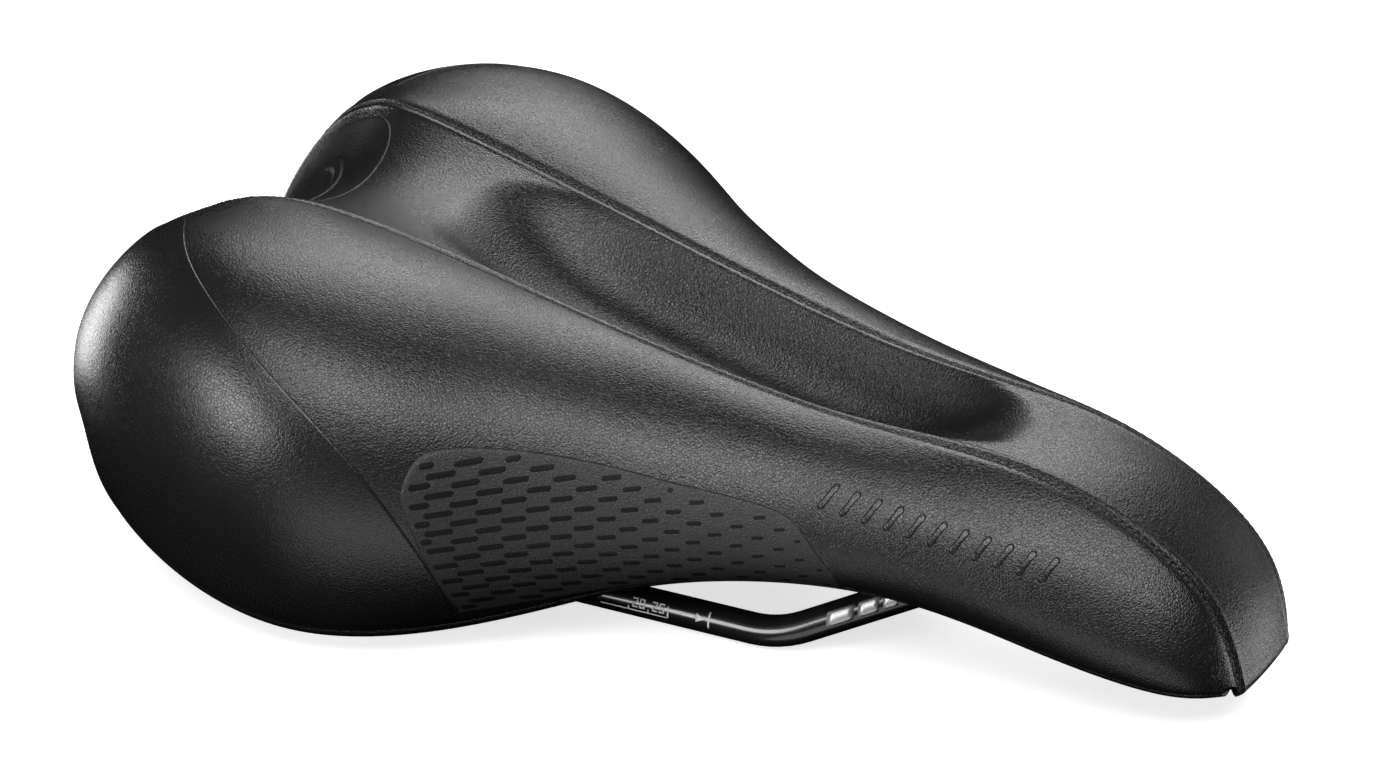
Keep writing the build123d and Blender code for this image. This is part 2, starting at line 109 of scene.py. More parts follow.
CROWN = ((-112, 0, 26), (-106, 0, 31), (-92, 0, 36.5), (-52, 0, 41), (-9, 0, 39),
         (24, 0, 34.5), (64.5, 0, 33), (100, 0, 33.5), (124, 0, 28), (134, 0, 15))

RECESS_DEPTH = 14.0 * MM        # relief channel
RECESS_MIDDLE = 17 * MM
RECESS_HALF = 71 * MM
RECESS_REACH = 0.97             # its half width, as a share of the way to the seam
RECESS_FLOOR = 0.08             # share of the way out that is level
RECESS_ENDS, RECESS_WALLS = 5, 3     # powers of its outline: the higher, the squarer
LAST = 9.0                      # the nose station
FOAM_START, FOAM_END = 0.2, 8.75
EPS = 1e-4                      # step for slopes, in parameters
SKIN_ROWS = 331
FLANK_COLUMNS = 120
CENTRE_COLUMNS = 141


# ---------------------------------------------------------------- form
def natural_spline(stations):
    """Smooth curve through the stations, one unit of its parameter apart."""
    points = np.array(stations, float) * MM
    count = len(points)
    system = np.eye(count)
    bends = np.zeros_like(points)
    for i in range(1, count - 1):
        system[i, i - 1:i + 2] = 1, 4, 1
        bends[i] = 6 * (points[i - 1] - 2 * points[i] + points[i + 1])
    bends = np.linalg.solve(system, bends)

    def at(u):
        u = np.asarray(u, float)
        i = np.clip(u.astype(int), 0, count - 2)
        b = (u - i)[..., None]
        a = 1 - b
        curve = (a ** 3 - a) * bends[i] + (b ** 3 - b) * bends[i + 1]
        return a * points[i] + b * points[i + 1] + curve / 6

    return at


centre_line, seam_line, shoulder_line, flank_line, hem_line, crown_line = [
    natural_spline(s) for s in (CENTRE, SEAM, SHOULDER, FLANK, HEM, CROWN)]


def smooth(value, low, high):
    t = np.clip((value - low) / (high - low), 0, 1)
    return t * t * (3 - 2 * t)


def unit(vectors):
    return vectors / np.linalg.norm(vectors, axis=-1, keepdims=True)


def length(vectors):
    return np.linalg.norm(vectors, axis=-1)


def bezier(a, b, c, d, t):
    t = np.asarray(t, float)[..., None]
    s = 1 - t
    return s ** 3 * a + 3 * s * s * t * b + 3 * s * t * t * c + t ** 3 * d


def middle_handles(u):
    """Control points of the centre panel's half section before the recess is pressed in."""
    centre, seam = centre_line(u), seam_line(u)
    across = seam * (0, 1, 0)
    return centre, centre + across / 3, (2 * centre + across + seam) / 3, seam


def recess(x, y, seam_y):
    """How far the relief channel sinks: a long oval bowl between the seams."""
    along = np.abs(x - RECESS_MIDDLE) / RECESS_HALF
    across = np.abs(y) / (RECESS_REACH * seam_y)
    reach = (along ** RECESS_ENDS + across ** RECESS_WALLS) ** 0.5
    return RECESS_DEPTH * (1 - smooth(reach, RECESS_FLOOR, 1.0))


def side_handles(u):
    return seam_line(u), shoulder_line(u), flank_line(u), hem_line(u)


def with_normal(surface, u, v):
    """Point and outward normal of a surface given by two parameters."""
    along = surface(u + EPS, v) - surface(u - EPS, v)
    across = surface(u, v + EPS) - surface(u, v - EPS)
    return surface(u, v), unit(np.cross(along, across))


def raw_side(u, v):
    return bezier(*side_handles(u), v)


def raw_middle(u, w):
    handles = middle_handles(u)
    points = bezier(*handles, np.abs(w))
    points[..., 2] -= recess(points[..., 0], points[..., 1], handles[3][..., 1])
    points[..., 1] *= np.where(w < 0, -1.0, 1.0)
    return points


def ripple(x, y, pitch, seed):
    """Soft irregular undulation between -1 and 1."""
    total = 0
    for i in range(4):
        angle = seed + 2.1 * i
        across = x * math.cos(angle) + y * math.sin(angle)
        wave = across * 2 * math.pi / (pitch * (0.7 + 0.25 * i))
        total = total + np.sin(wave + 3.7 * i * seed)
    return total / 4


def end_roll(u):
    """Both ends of a skin turn in like a quarter round."""
    t = np.clip(np.maximum(END_SPAN - u, u - LAST + END_SPAN) / END_SPAN, 0, 1)
    return -END_ROLL * (1 - np.sqrt(1 - t * t))


def side_relief(u, v):
    """How far the flank's skin stands out of its smooth form."""
    a, b, c, d = side_handles(u)
    seam_gap = 3 * length(b - a) * v
    hem_gap = 3 * length(d - c) * (1 - v)
    pull = -PULL_DEPTH * np.exp(-(seam_gap / PULL_SIDE) ** 2)
    pucker = PUCKER_SIDE * np.sin(u * PUCKER_RATE) * np.exp(-(seam_gap / PUCKER_REACH) ** 2)
    groove = -HEM_LINE_DEPTH * np.exp(-((hem_gap - HEM_LINE_PLACE) / HEM_LINE_WIDTH) ** 2)
    soft = SOFT_DEPTH * ripple(u * SOFT_ALONG, v * SOFT_DOWN, SOFT_PITCH, SOFT_SEED)
    soft = soft * smooth(seam_gap, 0, SOFT_BELOW_SEAM)
    soft = soft * smooth(hem_gap, SOFT_HEM_GONE, SOFT_HEM_FULL)
    return pull + pucker + groove + soft + end_roll(u)


def drawn(u, share):
    """Parameter stretched at the nose, so that the seam's end comes down to the hem."""
    return u + SEAM_TAIL * share * smooth(u, LAST - TAIL_SPAN, LAST)


def side_point(u, v, lift=0.0):
    u, v = np.broadcast_arrays(np.asarray(u, float), np.asarray(v, float))
    point, normal = with_normal(raw_side, drawn(u, (1 - v) ** 2), v)
    return point + normal * (side_relief(u, v) + lift)[..., None]


def middle_relief(u, w):
    """How far the centre panel stands out of its smooth form."""
    last_handle, seam = middle_handles(u)[2:]
    seam_gap = 3 * length(seam - last_handle) * (1 - np.abs(w))
    pull = -PULL_DEPTH * np.exp(-(seam_gap / PULL_MIDDLE) ** 2)
    lip = LIP_HEIGHT * np.exp(-((seam_gap - LIP_PLACE) / LIP_WIDTH) ** 2)
    pucker = PUCKER_MIDDLE * np.sin(u * PUCKER_RATE) * np.exp(-(seam_gap / PUCKER_REACH) ** 2)
    return pull + lip + pucker + end_roll(u)


def middle_point(u, w, lift=0.0):
    u, w = np.broadcast_arrays(np.asarray(u, float), np.asarray(w, float))
    point, normal = with_normal(raw_middle, drawn(u, w * w), w)
    return point + normal * (middle_relief(u, w) + lift)[..., None]


def hem_frame(u):
    """Where the skin turns under: parameter, point, way down and way out."""
    last_handle, hem = side_handles(u)[2:]
    stop = 1 - HEM_ROLL / (3 * length(hem - last_handle))
    point, normal = with_normal(raw_side, u, stop)
    down = unit(raw_side(u, stop) - raw_side(u, stop - 0.01))
    return stop, point, down, normal


def hem_share(u):
    """The hem and the ledge grow narrow towards the rear edge and the nose."""
    whole_before_nose = 1 - smooth(u, HEM_NOSE_FULL, HEM_NOSE_LEAST)
    return HEM_LEAST + (1 - HEM_LEAST) * smooth(u, 0, HEM_REAR_FULL) * whole_before_nose


def base_arch(u, lift):
    """Control points of the base's half section, crown to rim."""
    corner, down, out = hem_frame(u)[1:]
    drop = HEM_ROLL - COVER - LAYER_GAP
    rim = corner + (drop - BASE - lift) * down - (COVER + LAYER_GAP) * out
    crown = crown_line(u) + np.array([0, 0, lift])
    ledge = ((HEM_TURN + LEDGE) * hem_share(u))[..., None]
    return crown, crown + rim * (0, ARCH_WIDTH, 0), rim - ledge * out, rim


# ---------------------------------------------------------------- meshes
def new_object(name, verts, faces, material, flat=False):
    mesh = bpy.data.meshes.new(name)
    mesh.from_pydata([tuple(v) for v in np.asarray(verts).reshape(-1, 3)], [], faces)
    mesh.validate()
    mesh.update()
    for polygon in mesh.polygons:
        polygon.use_smooth = not flat
    mesh.materials.append(material)
    obj = bpy.data.objects.new(name, mesh)
    bpy.context.scene.collection.objects.link(obj)
    return obj


def grid_faces(rows, columns, offset=0, flip=False):
    i = np.arange(rows * columns).reshape(rows, columns) + offset
    quads = np.stack([i[:-1, :-1], i[1:, :-1], i[1:, 1:], i[:-1, 1:]], -1).reshape(-1, 4)
    return (quads[:, ::-1] if flip else quads).tolist()


def closed_sheet(top, bottom):
    """Vertices and faces of the closed skin between two grids of the same size."""
    rows, columns = top.shape[:2]
    verts = np.concatenate([top.reshape(-1, 3), bottom.reshape(-1, 3)])
    faces = grid_faces(rows, columns) + grid_faces(rows, columns, rows * columns, True)
    i = np.arange(rows * columns).reshape(rows, columns)
    ring = np.concatenate([i[0], i[1:, -1], i[-1, -2::-1], i[-2:0:-1, 0]])
    below = ring + rows * columns
    after, after_below = np.roll(ring, -1), np.roll(below, -1)
    faces += np.stack([ring, after, after_below, below], -1).tolist()
    return verts, faces


def grid_normals(grid):
    along = np.gradient(grid, axis=0)
    across = np.gradient(grid, axis=1)
    return unit(np.cross(along, across))


def eased(count, ease=0.8):
    """From 0 to 1, closer together at both ends."""
    t = np.linspace(0, 1, count)
    return t - ease * np.sin(2 * np.pi * t) / (2 * np.pi)


def end_to_end(count):
    """Parameters from end to end, closer together where the ends turn in."""
    ends = END_SPAN * np.sin(np.linspace(0, math.pi / 2, 9))
    between = np.linspace(END_SPAN, LAST - END_SPAN, count)[1:-1]
    return np.concatenate([(END_SPAN - ends)[::-1], between, LAST - END_SPAN + ends])


def hand(side):
    return "_left" if side == LEFT else "_right"


def mirrored_piece(name, verts, faces, material, side):
    verts = np.array(verts)
    if side == RIGHT:
        verts = verts * (1, -1, 1)
        faces = [f[::-1] for f in faces]
    return new_object(name, verts, faces, material)


def stand_for(piece, slot, *nodes):
    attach(piece, "root")
    if nodes:
        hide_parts(*nodes)
    return piece


# ---------------------------------------------------------------- materials
class Shader:
    """A Principled material and short ways to add nodes to it."""

    def __init__(self, name, **sockets):
        self.material = bpy.data.materials.new(name)
        self.material.use_nodes = True
        self.tree = self.material.node_tree
        self.bsdf = self.tree.nodes["Principled BSDF"]
        for key, value in sockets.items():
            self.bsdf.inputs[key.replace("_", " ")].default_value = value
        self.place = self.node("ShaderNodeTexCoord").outputs["Object"]

    def node(self, kind, **settings):
        made = self.tree.nodes.new(kind)
        for key, value in settings.items():
            setattr(made, key, value)
        return made

    def link(self, output, socket):
        self.tree.links.new(output, socket)

    def fill(self, node, values):
        for key, value in values.items():
            if hasattr(value, "is_output"):
                self.link(value, node.inputs[key])
            else:
                node.inputs[key].default_value = value
        return node

    def noise(self, scale, detail=2.0, roughness=0.5, vector=None):
        made = self.node("ShaderNodeTexNoise")
        self.fill(made, {"Vector": vector or self.place, "Scale": scale, "Detail": detail,
                         "Roughness": roughness})
        return made.outputs["Fac"]

    def voronoi(self, scale, feature="F1", vector=None, smoothness=0.3):
        made = self.node("ShaderNodeTexVoronoi", feature=feature)
        self.fill(made, {"Vector": vector or self.place, "Scale": scale})
        if feature == "SMOOTH_F1":
            made.inputs["Smoothness"].default_value = smoothness
        return made.outputs["Distance"]

    def math(self, operation, a, b=0.0):
        made = self.node("ShaderNodeMath", operation=operation)
        return self.fill(made, {0: a, 1: b}).outputs[0]

    def remap(self, value, low, high, to_low, to_high):
        made = self.node("ShaderNodeMapRange")
        self.fill(made, {"Value": value, "From Min": low, "From Max": high,
                         "To Min": to_low, "To Max": to_high})
        return made.outputs["Result"]

    def warped(self, scale, reach):
        """Object coordinates pushed about by noise, so that a pattern looks grown."""
        made = self.node("ShaderNodeTexNoise")
        self.fill(made, {"Vector": self.place, "Scale": scale, "Detail": 2.0})
        centred = self.node("ShaderNodeVectorMath", operation="SUBTRACT")
        self.fill(centred, {0: made.outputs["Color"], 1: (0.5, 0.5, 0.5)})
        scaled = self.node("ShaderNodeVectorMath", operation="SCALE")
        self.fill(scaled, {0: centred.outputs[0], "Scale": reach})
        moved = self.node("ShaderNodeVectorMath", operation="ADD")
        return self.fill(moved, {0: self.place, 1: scaled.outputs[0]}).outputs[0]

    def tint(self, value, dark, light):
        made = self.node("ShaderNodeMix", data_type="RGBA")
        self.link(value, made.inputs[0])
        made.inputs[6].default_value = (*dark, 1)
        made.inputs[7].default_value = (*light, 1)
        self.link(made.outputs[2], self.bsdf.inputs["Base Color"])

    def bump(self, height, distance, strength=1.0, under=None):
        made = self.node("ShaderNodeBump")
        self.fill(made, {"Height": height, "Distance": distance, "Strength": strength})
        if under:
            self.link(under, made.inputs["Normal"])
        self.link(made.outputs["Normal"], self.bsdf.inputs["Normal"])
        return made.outputs["Normal"]


def leather(name, dark, light, rough, grain, depth, specular=0.5):
    """Fine pebbled synthetic leather: rounded cells, thin creases and a satin skin."""
    s = Shader(name, Specular_IOR_Level=specular)
    place = s.warped(0.35 / grain, 1.2 * grain)
    cells = s.voronoi(1 / grain, "SMOOTH_F1", place, 0.4)
    creases = s.voronoi(0.7 / grain, "DISTANCE_TO_EDGE", place)
    creases = s.remap(creases, 0.0, 0.14, 0.0, 1.0)
    fine = s.noise(1.6 / grain, 3.0, 0.6)
    height = s.math("ADD", s.math("MULTIPLY", cells, -1.0), s.math("MULTIPLY", creases, 0.35))
    height = s.math("ADD", height, s.math("MULTIPLY", fine, 0.5))
    s.bump(height, depth)
    worn = s.noise(28, 3.0, 0.6)
    s.tint(worn, dark, light)
    polish = s.math("ADD", s.remap(worn, 0.3, 0.7, rough - 0.03, rough + 0.04),
                    s.remap(creases, 0.0, 1.0, 0.08, 0.0))
    s.link(polish, s.bsdf.inputs["Roughness"])
    return s.material


def moulded(name, dark, light, rough, grain, depth):
    """Spark-eroded moulded plastic."""
    s = Shader(name)
    fine = s.noise(1 / grain, 3.0, 0.65)
    s.bump(fine, depth)
    haze = s.noise(35, 3.0)
    s.tint(haze, dark, light)
    s.link(s.remap(haze, 0.3, 0.7, rough - 0.05, rough + 0.05), s.bsdf.inputs["Roughness"])
    return s.material


def painted_rod(name):
    s = Shader(name, Specular_IOR_Level=0.5, Coat_Weight=0.5, Coat_Roughness=0.08)
    peel = s.noise(420, 2.0)
    s.bump(peel, 0.012 * MM)
    haze = s.noise(60, 3.0)
    s.tint(haze, (0.006, 0.006, 0.0065), (0.012, 0.012, 0.013))
    s.link(s.remap(haze, 0.3, 0.7, 0.20, 0.30), s.bsdf.inputs["Roughness"])
    return s.material


def steel(name):
    s = Shader(name, Metallic=1.0)
    haze = s.noise(900, 3.0)
    s.bump(haze, 0.01 * MM)
    s.tint(haze, (0.30, 0.30, 0.31), (0.45, 0.45, 0.46))
    s.link(s.remap(haze, 0.3, 0.7, 0.25, 0.40), s.bsdf.inputs["Roughness"])
    return s.material


def ink(name, colour, rough, metallic=0.0):
    """Printed marks: slightly uneven ink."""
    s = Shader(name, Metallic=metallic)
    haze = s.noise(1500, 2.0)
    s.bump(haze, 0.005 * MM)
    s.tint(haze, tuple(0.88 * c for c in colour), colour)
    s.link(s.remap(haze, 0.3, 0.7, rough - 0.05, rough + 0.05), s.bsdf.inputs["Roughness"])
    return s.material


def foam_material(name):
    s = Shader(name, Specular_IOR_Level=0.2)
    cells = s.voronoi(1100, "F1")
    s.bump(cells, 0.15 * MM)
    s.tint(s.remap(cells, 0.0, 0.6, 0.0, 1.0), (0.30, 0.27, 0.19), (0.58, 0.53, 0.40))
    s.link(s.remap(cells, 0.0, 0.6, 0.95, 0.8), s.bsdf.inputs["Roughness"])
    return s.material


SKIN = leather("skin", (0.009, 0.009, 0.0095), (0.014, 0.014, 0.0145),
               0.27, 0.46 * MM, 0.065 * MM)
SKIN_CENTRE = leather("skin_centre", (0.008, 0.008, 0.0085), (0.012, 0.012, 0.0125),
                      0.27, 0.47 * MM, 0.065 * MM)
WELT = leather("welt_skin", (0.003, 0.003, 0.003), (0.006, 0.006, 0.006),
               0.40, 0.45 * MM, 0.14 * MM)
GLOSSY = leather("glossy_film", (0.009, 0.009, 0.0095), (0.014, 0.014, 0.0145),
                 0.25, 0.50 * MM, 0.045 * MM)
GRIP = leather("grip_film", (0.016, 0.016, 0.0165), (0.024, 0.024, 0.0245),
               0.42, 0.42 * MM, 0.10 * MM)
PILL = leather("grip_pill", (0.003, 0.003, 0.003), (0.006, 0.006, 0.006),
               0.50, 0.50 * MM, 0.06 * MM, specular=0.2)
BADGE = leather("badge_film", (0.005, 0.005, 0.0055), (0.008, 0.008, 0.0085),
                0.34, 0.46 * MM, 0.06 * MM, specular=0.35)
THREAD = leather("thread", (0.02, 0.02, 0.02), (0.06, 0.06, 0.062),
                 0.16, 0.25 * MM, 0.03 * MM)
FOAM = foam_material("foam")
PLASTIC = moulded("base_plastic", (0.012, 0.012, 0.013), (0.022, 0.022, 0.023),
                  0.48, 0.35 * MM, 0.04 * MM)
CAP = moulded("cap_plastic", (0.016, 0.016, 0.017), (0.026, 0.026, 0.027),
              0.42, 0.30 * MM, 0.03 * MM)
RUBBER = moulded("bushing_rubber", (0.010, 0.010, 0.010), (0.018, 0.018, 0.018),
                 0.7, 0.5 * MM, 0.05 * MM)
PAINT = painted_rod("rod_paint")
STEEL = steel("screw_steel")
WHITE_INK = ink("white_ink", (0.8, 0.8, 0.8), 0.45)
SILVER_INK = ink("silver_ink", (0.55, 0.55, 0.56), 0.38, 0.6)


# ---------------------------------------------------------------- skins
HEM_SHOWN = 0.22                # how far the hem follows the base's arch inwards
WELT_ROWS = 1500
WELT_CROWN = 0.16 * MM
WELT_RIDGE = 0.05 * MM          # ridges across the strip, slanted by a share of a turn
WELT_PITCH = 1.25 * MM
WELT_SLANT = 2.2                # radians from one edge to the other
WELT_SINK = 0.20 * MM
WELT_DEPTH = 1.1 * MM
STITCH_PITCH = 0.95 * MM
STITCH_OFFSET = 0.24 * MM
STITCH_LENGTH = 0.8 * MM
STITCH_WIDTH = 0.36 * MM
STITCH_HEIGHT = 0.34 * MM
STITCH_LIFT = 0.02 * MM
STITCH_END = 0.15               # stations left free at both ends of the seam


def seam_travel(u):
    """Distance along the seam at each parameter."""
    return np.concatenate([[0], np.cumsum(length(np.diff(seam_line(u), axis=0)))])


def seam_stop(u, side):
    """Parameter from the seam line to the folded edge, on the side or the centre panel."""
    handles = side_handles(u) if side else middle_handles(u)
    leg = handles[1] - handles[0] if side else handles[3] - handles[2]
    return SEAM_EDGE / (3 * length(leg))


def side_profile(u):
    """Grid of the flank, the roll round the rim and the hem under the base."""
    stop, _, down, out = hem_frame(u)
    start = seam_stop(u, True)
    t = eased(FLANK_COLUMNS)[None, :]
    v = start[:, None] * (1 - t) + stop[:, None] * t
    uu = np.repeat(u[:, None], v.shape[1], 1)
    flank = side_point(uu, v)
    angle = np.linspace(0, math.pi / 2, 9)[1:][None, :, None]
    corner = flank[:, -1]
    inset = COVER + LAYER_GAP
    roll = (corner[:, None] + HEM_ROLL * np.sin(angle) * down[:, None]
            - inset * (1 - np.cos(angle)) * out[:, None])
    arch = base_arch(u, -BASE - LAYER_GAP - COVER)[::-1]
    arch = [a + (roll[:, -1] - arch[0]) for a in arch]
    t = np.linspace(0, HEM_SHOWN, 7)[1:]
    hem = np.stack([bezier(*arch, np.full(len(u), k)) for k in t], 1)
    return np.concatenate([flank, roll, hem], 1)


def side_skin(side):
    u = end_to_end(SKIN_ROWS)
    outer = side_profile(u)
    inner = outer - grid_normals(outer) * COVER
    verts, faces = closed_sheet(outer, inner)
    skin = mirrored_piece("skin_side" + hand(side), verts, faces, SKIN, side)
    return stand_for(skin, "cover_skin", "cover_side_panel" + hand(side))


def centre_skin():
    u = end_to_end(SKIN_ROWS)
    reach = 1 - seam_stop(u, False)
    w = (2 * eased(CENTRE_COLUMNS, 0.75) - 1)[None, :] * reach[:, None]
    outer = middle_point(np.repeat(u[:, None], w.shape[1], 1), w)
    inner = outer - grid_normals(outer) * COVER
    verts, faces = closed_sheet(outer, inner)
    skin = new_object("skin_centre", verts, faces, SKIN_CENTRE)
    return stand_for(skin, "cover_skin", "cover_centre_panel")


def seam_frame(u):
    """Both edges of the slot between the skins, and the way out of it."""
    inner = middle_point(u, 1 - seam_stop(u, False))
    outer = side_point(u, seam_stop(u, True))
    along = seam_line(u + EPS) - seam_line(u - EPS)
    return inner, outer, unit(np.cross(along, outer - inner))


def welt(side):
    """Cord-like strip in the slot, ridged where the thread pulls it down."""
    u = end_to_end(WELT_ROWS)
    inner, outer, up = seam_frame(u)
    t = np.linspace(0, 1, 11)
    ridge = np.sin(seam_travel(u)[:, None] * 2 * math.pi / WELT_PITCH + WELT_SLANT * t[None, :])
    crown = np.sin(math.pi * t)[None, :] ** 0.6
    height = crown * (WELT_CROWN + WELT_RIDGE * ridge) - WELT_SINK
    strip = inner[:, None] * (1 - t[None, :, None]) + outer[:, None] * t[None, :, None]
    top = strip + height[..., None] * up[:, None]
    bottom = strip - WELT_DEPTH * up[:, None]
    verts, faces = closed_sheet(top, bottom)
    piece = mirrored_piece("welt" + hand(side), verts, faces, WELT, side)
    return stand_for(piece, "seam_skin", "seam_welt" + hand(side))


def bead(long, width, height, sides=8, rings=7):
    """A small closed capsule along X."""
    verts, faces = [], []
    for i in range(rings):
        t = math.pi * i / (rings - 1)
        x = -0.5 * long * math.cos(t)
        r = max(math.sin(t), 1e-3) ** 0.6
        for j in range(sides):
            a = 2 * math.pi * j / sides
            verts.append((x, 0.5 * width * r * math.cos(a), 0.5 * height * r * math.sin(a)))
    for i in range(rings - 1):
        for j in range(sides):
            k = (j + 1) % sides
            low, high = i * sides, (i + 1) * sides
            faces.append((low + j, low + k, high + k, high + j))
    faces.append(tuple(range(sides - 1, -1, -1)))
    faces.append(tuple(range((rings - 1) * sides, rings * sides)))
    return np.array(verts), faces


def scatter(shape, places):
    """Copies of a small shape; places are (point, along, up)."""
    shape_verts, shape_faces = shape
    verts, faces = [], []
    for point, along, up in places:
        y = np.cross(up, along)
        axes = np.stack([along, y, up])
        faces += [[i + len(verts) * len(shape_verts) for i in f] for f in shape_faces]
        verts.append(shape_verts @ axes + point)
    return np.concatenate(verts), faces


def stitches(side):
    """Short stitches along the seam, set to one side and the other in turn."""
    u = np.linspace(STITCH_END, LAST - STITCH_END, 6000)
    travel = seam_travel(u)
    spots = np.interp(np.arange(STITCH_LENGTH, travel[-1], STITCH_PITCH), travel, u)
    inner, outer, up = seam_frame(spots)
    along = unit(seam_line(spots + 0.01) - seam_line(spots - 0.01))
    push = np.where(np.arange(len(spots)) % 2, STITCH_OFFSET, -STITCH_OFFSET)[:, None]
    where = (inner + outer) / 2 + unit(outer - inner) * push + up * STITCH_LIFT
    places = [(p, a, unit(n - a * (a @ n))) for p, a, n in zip(where, along, up)]
    verts, faces = scatter(bead(STITCH_LENGTH, STITCH_WIDTH, STITCH_HEIGHT), places)
    piece = mirrored_piece("stitches" + hand(side), verts, faces, THREAD, side)
    return stand_for(piece, "seam_skin")


FOAM_ROWS, FOAM_FLANK, FOAM_MIDDLE = 140, 31, 20


def foam_half(u):
    """Grid of the pad's left top half, a skin's thickness below the skins."""
    last_handle, hem = side_handles(u)[2:]
    inset = BASE + COVER + 2 * LAYER_GAP + FOAM_RIM
    stop = 1 - inset / (3 * length(hem - last_handle))
    sink = COVER + 2 * LAYER_GAP
    v = np.linspace(0, 1, FOAM_FLANK)[None, :] * stop[:, None]
    point, normal = with_normal(raw_side, np.repeat(u[:, None], FOAM_FLANK, 1), v)
    flank = point - sink * normal
    w = np.linspace(0, 1, FOAM_MIDDLE + 1)[None, :-1] * np.ones((len(u), 1))
    point, normal = with_normal(raw_middle, np.repeat(u[:, None], FOAM_MIDDLE, 1), w)
    half = np.concatenate([point - sink * normal, flank], 1)
    half[:, 0, 1] = 0
    return half


def foam_pad():
    u = np.linspace(FOAM_START, FOAM_END, FOAM_ROWS)
    half = foam_half(u)
    arch = base_arch(u, LAYER_GAP)
    shares = np.linspace(0, 1, half.shape[1])
    under = np.stack([bezier(*arch, np.full(len(u), k)) for k in shares], 1)
    top = np.concatenate([half[:, :0:-1] * (1, -1, 1), half], 1)
    bottom = np.concatenate([under[:, :0:-1] * (1, -1, 1), under], 1)
    verts, faces = closed_sheet(top, bottom)
    pad = new_object("foam_body", verts, faces, FOAM)
    return stand_for(pad, "foam", "foam_pad")


# ---------------------------------------------------------------- films
FILM_EDGE = 0.02 * MM           # a film's border above the skin
FILM_RISE = 0.28 * MM           # and how much higher it is inside
FILM_SINK = 0.1 * MM
FILM_ROUND = 1.0                # width of a film's rounded edge, in millimetres

# Rear film: its front edge in the flank's parameters (v, u), its start, and its size.
SCUFF_EDGE = ((0.05, 2.66), (0.22, 2.63), (0.42, 2.99), (0.6, 3.38), (0.8, 3.63), (0.945, 3.72))
SCUFF_START = 0.45
SCUFF_ALONG, SCUFF_DOWN = 130, 110
SCUFF_ROWS, SCUFF_COLUMNS = 170, 150

# Grip film: side view (x, z) in millimetres, and how far down the flank it ends.
GRIP_TOP = ((-22, 43), (-20.5, 49.5), (-12, 52), (13, 47.3),
            (28, 44), (44, 41.2), (53, 37), (60, 27))
GRIP_REAR = ((-22, 43), (-19, 29.5), (-16, 12))
GRIP_LOW = 0.925
GRIP_NOSE = 0.03                # stations from the end of its top line to its lower front corner
GRIP_ROWS, GRIP_COLUMNS = 181, 91
GRIP_STEP = 0.5                 # about as many millimetres lie between its grid lines

# Search for a point of the flank: first guess, and millimetres to a station.
GUESS_U, GUESS_X, GUESS_V = 4.4, 5, 0.7
STATION_STEP = 36
SEARCH_STEPS = 14
U_LIMITS, V_LIMITS = (1.5, 8.7), (0.3, 0.97)
U_STRIDE, V_STRIDE = 0.4, 0.1   # longest step of a round

# Pills on the grip film, in side-view millimetres.
PILL_ROWS, PILL_COLUMNS = 22, 12
PILL_TOP, PILL_REAR = 51.2, -24
PILL_RISER, PILL_PITCH = 2.1, 8.6
PILL_LONG, PILL_HIGH = 6.3, 1.75
LONG_TAPER, HIGH_TAPER, TAPER_FROM = 0.054, 0.0135, -15
PILL_CLEAR, PILL_MARGIN = 1.3, 0.3
PILL_LEAN = 0.10
PILL_RISE = np.array([0.22, 0.31, 0.32, 0.33, 0.33]) * MM
PILL_RINGS, PILL_SIDES = 5, 28
PILL_LEAST = 1.2                # shortest pill, in its own heights
PILL_LOW = GRIP_LOW - 0.01      # no pill reaches down past here
NEAR_ENOUGH = 0.1 * MM          # a shape is made where the search came this near

# Row of plain bars, in side-view millimetres.
BAR_FIRST, BAR_LAST = (57.5, 43.5), (109, 33.2)
BAR_COUNT, BAR_LONG, BAR_THICK, BAR_LEAN = 12, 5.6, 1.7, 1.05
BAR_RISE = np.array([-0.05, 0.12, 0.18, 0.20, 0.20]) * MM

# Rear patch: middle and half size in stations and in shares of the way to the seam.
BADGE_U, BADGE_HALF, BADGE_W = 2.86, 0.76, 0.87
BADGE_CORNER = 7.0              # power of its rounded outline
BADGE_RISE = 0.13 * MM
BADGE_RIM = 0.05                # width of its rounded edge, as a share of its half size
RING_U, RING_HALF, RING_W = 2.72, 0.50, 0.50
RING_RISE, RING_WIDTH = 0.40 * MM, 0.11


def across_points(points, count):
    """Smooth open curve through a few flat points, sampled evenly."""
    line = natural_spline([(x, y, 0) for x, y in points])
    return line(np.linspace(0, len(points) - 1, count))[:, :2] / MM


def rim_share(s, width):
    """Rounded edge of a film: 0 at its border, 1 inside."""
    return np.sqrt(np.clip(1 - (1 - np.clip(s / width, 0, 1)) ** 2, 0, 1))


def film(name, u, v, rims, material, slot, side, node):
    """Thin closed film on the flank over a grid of (u, v) with rounded edges."""
    top = side_point(u, v, FILM_EDGE + FILM_RISE * rims)
    bottom = side_point(u, v, -FILM_SINK)
    verts, faces = closed_sheet(top, bottom)
    piece = mirrored_piece(name + hand(side), verts, faces, material, side)
    return stand_for(piece, slot, node + hand(side))


def wing_film(side):
    edge = across_points(SCUFF_EDGE, SCUFF_COLUMNS)
    s = eased(SCUFF_ROWS, 0.85)[:, None]
    t = np.linspace(0, 1, SCUFF_COLUMNS)[None, :]
    v = np.repeat(edge[:, 0][None, :], SCUFF_ROWS, 0)
    u = SCUFF_START * (1 - s) + edge[:, 1][None, :] * s
    border = np.minimum(np.minimum(s, 1 - s) * SCUFF_ALONG, np.minimum(t, 1 - t) * SCUFF_DOWN)
    rims = rim_share(border, FILM_ROUND)
    return film("wing_film", u, v, rims, GLOSSY, "glossy_film", side, "wing_scuff_patch")


